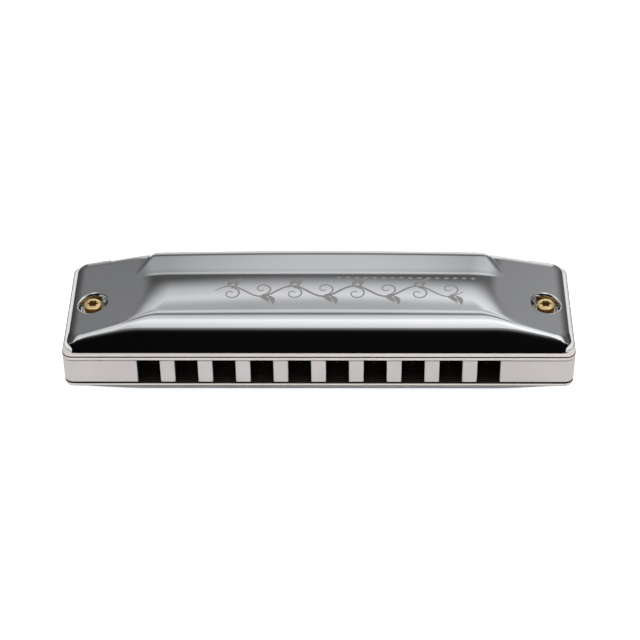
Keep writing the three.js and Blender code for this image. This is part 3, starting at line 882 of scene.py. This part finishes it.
def reed_sections(length, low_note):
    """Depth, width, gap to the plate and thickness along a reed. Low notes are heavy at the tip."""
    narrow = FOOT_WIDTH - 2 * FOOT_CHAMFER
    foot = [(-FOOT_LENGTH, narrow), (-FOOT_LENGTH + FOOT_CHAMFER, FOOT_WIDTH)]
    foot += [(-FOOT_CHAMFER, FOOT_WIDTH), (0, TONGUE_WIDTH + FOOT_CHAMFER)]
    sections = [(depth, width, SEAT, FOOT_THICKNESS) for depth, width in foot]
    sections.append((TONGUE_START, TONGUE_WIDTH, SEAT, FOOT_THICKNESS * 0.8))
    tip = TONGUE_THICKNESS if low_note else THIN_TIP
    for t in shares(TONGUE_SECTIONS)[1:]:
        gap = SEAT + (TIP_GAP - SEAT) * t * t
        thinning = (TONGUE_THICKNESS - TONGUE_WAIST) * math.sin(math.pi * min(1, 1.15 * t))
        waist = TONGUE_THICKNESS - thinning
        thickness = waist + (tip - waist) * float(smooth_step((t - 0.6) / 0.4))
        depth = TONGUE_START + (length - TONGUE_START) * t
        sections.append((depth, TONGUE_WIDTH, gap, thickness))
    return sections


def make_reed(kind, hole):
    """A reed as one strip that stays on its plate at the root and bends towards its free end."""
    node = f"{kind}_reed_{hole}"
    low_x, high_x = span(node, 0)
    low_y, high_y = span(node, 1)
    x, root = (low_x + high_x) / 2, low_y + FOOT_LENGTH
    face = COMB_TOP if kind == "blow" else LOWER_PLATE_FACE
    points = []
    for depth, width, gap, thickness in reed_sections(high_y - root, hole <= HOLES / 2):
        top, bottom = face - gap, face - gap - thickness
        for side, height in ((-1, bottom), (1, bottom), (1, top), (-1, top)):
            points.append((x + side * width / 2, root + depth, height))
    faces = []
    count = len(points) // 4
    for section in range(count - 1):
        for corner in range(4):
            after = (corner + 1) % 4
            a, b = 4 * section + corner, 4 * section + after
            faces.append((a, b, b + 4, a + 4)[::-1])
    faces.append((0, 1, 2, 3))
    last = 4 * (count - 1)
    faces.append((last + 3, last + 2, last + 1, last))
    mesh = mesh_from(f"{node}_leaf", points, faces)
    work = bmesh.new()
    work.from_mesh(mesh)
    hard = [e for e in work.edges if e.calc_face_angle() > math.radians(60)]
    round_edges(work, hard, REED_EDGE, 1)
    work.to_mesh(mesh)
    work.free()
    piece = finish_piece(f"{node}_leaf", mesh, reed_brass, None, [node], 30)
    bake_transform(piece)


def make_rivet(kind, hole):
    """A rivet with a domed head on the reed's foot, a shank through the plate and a flat tail."""
    node = f"{kind}_rivet_{hole}"
    x, y = (sum(span(node, axis)) / 2 for axis in (0, 1))
    low, high = (COMB_TOP, UPPER_PLATE_FACE) if kind == "blow" else (LOWER_PLATE_FACE, COMB_BOTTOM)
    head = low - SEAT - FOOT_THICKNESS
    rings = [(MIDDLE_SPOT, head - RIVET_DOME_HEIGHT)]
    rings += [(RIVET_HEAD * share, head - drop) for share, drop in RIVET_DOME]
    rings += [(RIVET_SHANK, head), (RIVET_SHANK, high)]
    rings += [(RIVET_TAIL * share, high + rise) for share, rise in RIVET_TAIL_CURVE]
    rings += [(MIDDLE_SPOT, high + RIVET_TAIL_HEIGHT)]
    turned(f"{node}_pin", rings, x, y, rivet_brass, node, 24)


for reed_kind in ("blow", "draw"):
    for number in range(1, HOLES + 1):
        make_reed(reed_kind, number)
        make_rivet(reed_kind, number)

# ---- Screws and nuts ---------------------------------------------------------------------------

HEAD_RADIUS = 1.75
HEAD_HEIGHT = 2.6
SOCKET_RADIUS = 0.88
SOCKET_LOBE = 0.14
SOCKET_DEPTH = 1.2
SHANK_RADIUS = 1.0
SHANK_CHAMFER = 0.25
# How far each ring of the head lies in from its side and down from its top.
HEAD_CURVE = [(0, 0.36), (0.03, 0.26), (0.1, 0.17), (0.22, 0.11), (0.45, 0.06), (0.72, 0)]
NUT_ROUNDING = 0.12
PLATE_SCREWS = 8
CROSS_DEPTH = 0.5
CROSS_LOBE = 0.3


def lobes(radius, depth, count):
    """A rule for a ring with a number of rounded lobes."""
    return lambda angle: radius + depth * math.cos(count * angle)


def make_cover_screw(side):
    """A long screw with a chamfered end, a domed head and a six-lobe socket."""
    node = f"cover_screw_{side}"
    x, y = (sum(span(node, axis)) / 2 for axis in (0, 1))
    end, top = span(node, 2)
    seat = top - HEAD_HEIGHT
    floor = top - SOCKET_DEPTH
    rings = [(0.1, end), (SHANK_RADIUS - SHANK_CHAMFER, end), (SHANK_RADIUS, end + SHANK_CHAMFER)]
    rings += [(SHANK_RADIUS, seat), (HEAD_RADIUS - 0.08, seat), (HEAD_RADIUS, seat + 0.08)]
    rings += [(HEAD_RADIUS - inward, top - below) for inward, below in HEAD_CURVE]
    socket = lobes(SOCKET_RADIUS, SOCKET_LOBE, 6)
    rings += [(lobes(SOCKET_RADIUS + 0.03, SOCKET_LOBE, 6), top - 0.01), (socket, top - 0.1)]
    rings += [(socket, floor), (0.35, floor - 0.12), (MIDDLE_SPOT, floor - 0.2)]
    turned(f"{node}_bright", rings, x, y, gold, node, 96)


def make_plate_screw(number):
    """A small countersunk screw with a cross recess, its head at the lower end."""
    node = f"reed_plate_screw_{number}"
    x, y = (sum(span(node, axis)) / 2 for axis in (0, 1))
    face, tip = span(node, 2)
    rings = [(MIDDLE_SPOT, face + CROSS_DEPTH + 0.15), (lobes(0.3, 0.12, 4), face + CROSS_DEPTH)]
    rings += [(lobes(0.5, CROSS_LOBE, 4), face + 0.02), (lobes(0.54, CROSS_LOBE, 4), face)]
    rings += [(1.36, face), (1.44, face + 0.06), (0.8, face + 0.8), (0.8, tip - 0.2), (0.6, tip)]
    turned(f"{node}_turned", rings, x, y, steel, node, 48)


for hand in ("left", "right"):
    make_cover_screw(hand)
    nut = f"cover_nut_{hand}"
    rounded_copy(nut, f"{nut}_bright", gold, NUT_ROUNDING)
for number in range(1, PLATE_SCREWS + 1):
    make_plate_screw(number)

# ---- Camera, stage and light -------------------------------------------------------------------

# The camera's place is in millimetres, its turns are in degrees and its lens is that of a 36 mm frame.
CAMERA_PLACE = (6.6, FRONT - 310.7, UPPER_PLATE_FACE + 279.8)
CAMERA_TILT = 49.0
CAMERA_ROLL = -0.72
CAMERA_TURN = 1.14
CAMERA_LENS = 119.2


def make_camera():
    """A camera in front of the object, above it and close to its middle."""
    data = bpy.data.cameras.new("camera")
    data.lens = CAMERA_LENS
    data.sensor_width = 36
    data.clip_start = 0.01
    camera = bpy.data.objects.new("camera", data)
    bpy.context.scene.collection.objects.link(camera)
    turn = Matrix.Rotation(math.radians(CAMERA_TURN), 4, "Z")
    tilt = Matrix.Rotation(math.radians(CAMERA_TILT), 4, "X")
    roll = Matrix.Rotation(math.radians(CAMERA_ROLL), 4, "Z")
    camera.matrix_world = Matrix.Translation(Vector(CAMERA_PLACE) * MM) @ turn @ tilt @ roll
    bpy.context.scene.camera = camera


# Brightness of the studio, as seen on a screen, by the angle up from the back and over to the front.
# The middle is over the object's length, and the sides are beyond its ends.
STUDIO_MIDDLE = [
    (0, 0.84), (20, 0.86), (27, 0.80), (32, 0.55), (35.5, 0.33), (37.6, 0.33), (39, 0.46),
    (41, 0.62), (43.4, 0.76), (45.5, 0.81), (47.7, 0.87), (49.5, 0.80), (51, 0.70), (53.5, 0.66),
    (56.2, 0.80), (59, 0.86), (61, 0.78), (63.3, 0.50), (65.4, 0.38), (67.6, 0.62), (71, 0.80),
    (78, 0.86), (83, 1.0), (88, 0.98), (92, 0.84), (97, 0.62), (103, 0.46), (118, 0.40),
    (132, 0.14), (145, 0.05), (180, 0.02),
]
STUDIO_SIDES = [
    (0, 0.38), (20, 0.40), (30, 0.47), (36, 0.53), (44, 0.53), (52, 0.48), (60, 0.60),
    (68, 0.90), (82, 0.92), (95, 1.0), (112, 0.95), (128, 0.3), (150, 0.06), (180, 0.02),
]
FAR_SIDES = (0.50, 0.72)
FAR_SIDES_DIMMING = -0.7
SIDES_START = 0.24
SIDES_FULL = 0.36
RIGHT_GAIN = 0.9
RIGHT_REACH = 0.2


def linear(level):
    """Light that shows on a screen as a level from 0 to 1."""
    return ((level + 0.055) / 1.055) ** 2.4


def studio_ramp(tree, share, levels):
    """The studio's light by the share of the half turn from the back to the front."""
    ramp = tree.nodes.new("ShaderNodeValToRGB")
    stops = ramp.color_ramp.elements
    while len(stops) < len(levels):
        stops.new(0.5)
    for stop, (degrees, level) in zip(stops, levels):
        stop.position = degrees / 180
        light = linear(level)
        stop.color = (light, light, light, 1)
    tree.links.new(share, ramp.inputs["Fac"])
    return ramp.outputs["Color"]


def make_world():
    """A studio of soft boxes and dark gaps over the object, seen only in its reflections."""
    world = bpy.data.worlds.new("studio")
    world.use_nodes = True
    tree = world.node_tree
    tree.nodes.clear()
    place = tree.nodes.new("ShaderNodeTexCoord")
    parts = tree.nodes.new("ShaderNodeSeparateXYZ")
    tree.links.new(place.outputs["Generated"], parts.inputs["Vector"])
    x, y, z = (parts.outputs[axis] for axis in "XYZ")
    share = math_node(tree, "DIVIDE", math_node(tree, "ARCTAN2", z, y), math.pi)
    sideways = math_node(tree, "ABSOLUTE", x)
    blend = tree.nodes.new("ShaderNodeMixRGB")
    sides = spread(tree, sideways, 0, 1, SIDES_START, SIDES_FULL, "SMOOTHSTEP")
    tree.links.new(sides, blend.inputs["Fac"])
    tree.links.new(studio_ramp(tree, share, STUDIO_MIDDLE), blend.inputs["Color1"])
    tree.links.new(studio_ramp(tree, share, STUDIO_SIDES), blend.inputs["Color2"])
    rightward = math_node(tree, "MINIMUM", x, RIGHT_REACH)
    rightward = math_node(tree, "MAXIMUM", rightward, -RIGHT_REACH)
    gain = math_node(tree, "MULTIPLY_ADD", rightward, RIGHT_GAIN, 1.0)
    far = spread(tree, sideways, 0, 1, *FAR_SIDES)
    dimming = math_node(tree, "MULTIPLY_ADD", far, FAR_SIDES_DIMMING, 1.0)
    gain = math_node(tree, "MULTIPLY", gain, dimming)
    studio = tree.nodes.new("ShaderNodeBackground")
    tree.links.new(blend.outputs["Color"], studio.inputs["Color"])
    tree.links.new(gain, studio.inputs["Strength"])
    white = tree.nodes.new("ShaderNodeBackground")
    white.inputs["Color"].default_value = (1, 1, 1, 1)
    paths = tree.nodes.new("ShaderNodeLightPath")
    mix = tree.nodes.new("ShaderNodeMixShader")
    output = tree.nodes.new("ShaderNodeOutputWorld")
    tree.links.new(paths.outputs["Is Camera Ray"], mix.inputs["Fac"])
    tree.links.new(studio.outputs["Background"], mix.inputs[1])
    tree.links.new(white.outputs["Background"], mix.inputs[2])
    tree.links.new(mix.outputs["Shader"], output.inputs["Surface"])
    bpy.context.scene.world = world


# The floor's half size is in metres. Its glow is seen by the camera but not by the chrome.
FLOOR_SIZE = 4.0
FLOOR_GLOW = 0.8


def make_floor():
    """A pale paper floor under the object."""
    mesh = bpy.data.meshes.new("floor")
    corners = [(x * FLOOR_SIZE, y * FLOOR_SIZE, 0) for x, y in ((-1, -1), (1, -1), (1, 1), (-1, 1))]
    mesh.from_pydata(corners, [], [(0, 1, 2, 3)])
    material, tree, shader = new_material("floor_paper", (0.85, 0.85, 0.85), 0, 0.7)
    shader.inputs["Emission Color"].default_value = (1, 1, 1, 1)
    paths = tree.nodes.new("ShaderNodeLightPath")
    glow = math_node(tree, "MULTIPLY", paths.outputs["Is Camera Ray"], FLOOR_GLOW)
    tree.links.new(glow, shader.inputs["Emission Strength"])
    fibres = object_noise(tree, 800, 4)
    bump(tree, shader, fibres, 0.05, 0.02)
    mesh.materials.append(material)
    floor = bpy.data.objects.new("floor", mesh)
    bpy.context.scene.collection.objects.link(floor)


def make_light(name, place, size, power):
    """A soft square light that faces the object and isn't seen in the chrome."""
    data = bpy.data.lights.new(name, "AREA")
    data.shape = "SQUARE"
    data.size = size
    data.energy = power
    light = bpy.data.objects.new(name, data)
    light.location = place
    light.rotation_euler = (-Vector(place)).to_track_quat("-Z", "Y").to_euler()
    light.visible_glossy = False
    light.visible_camera = False
    bpy.context.scene.collection.objects.link(light)


make_camera()
make_world()
make_floor()
make_light("overhead_light", (0, 0.05, 0.9), 0.9, 6)
make_light("front_light", (0, -0.7, 0.6), 0.6, 1.8)

bpy.context.scene.view_settings.view_transform = "Standard"
bpy.context.scene.view_settings.look = "None"
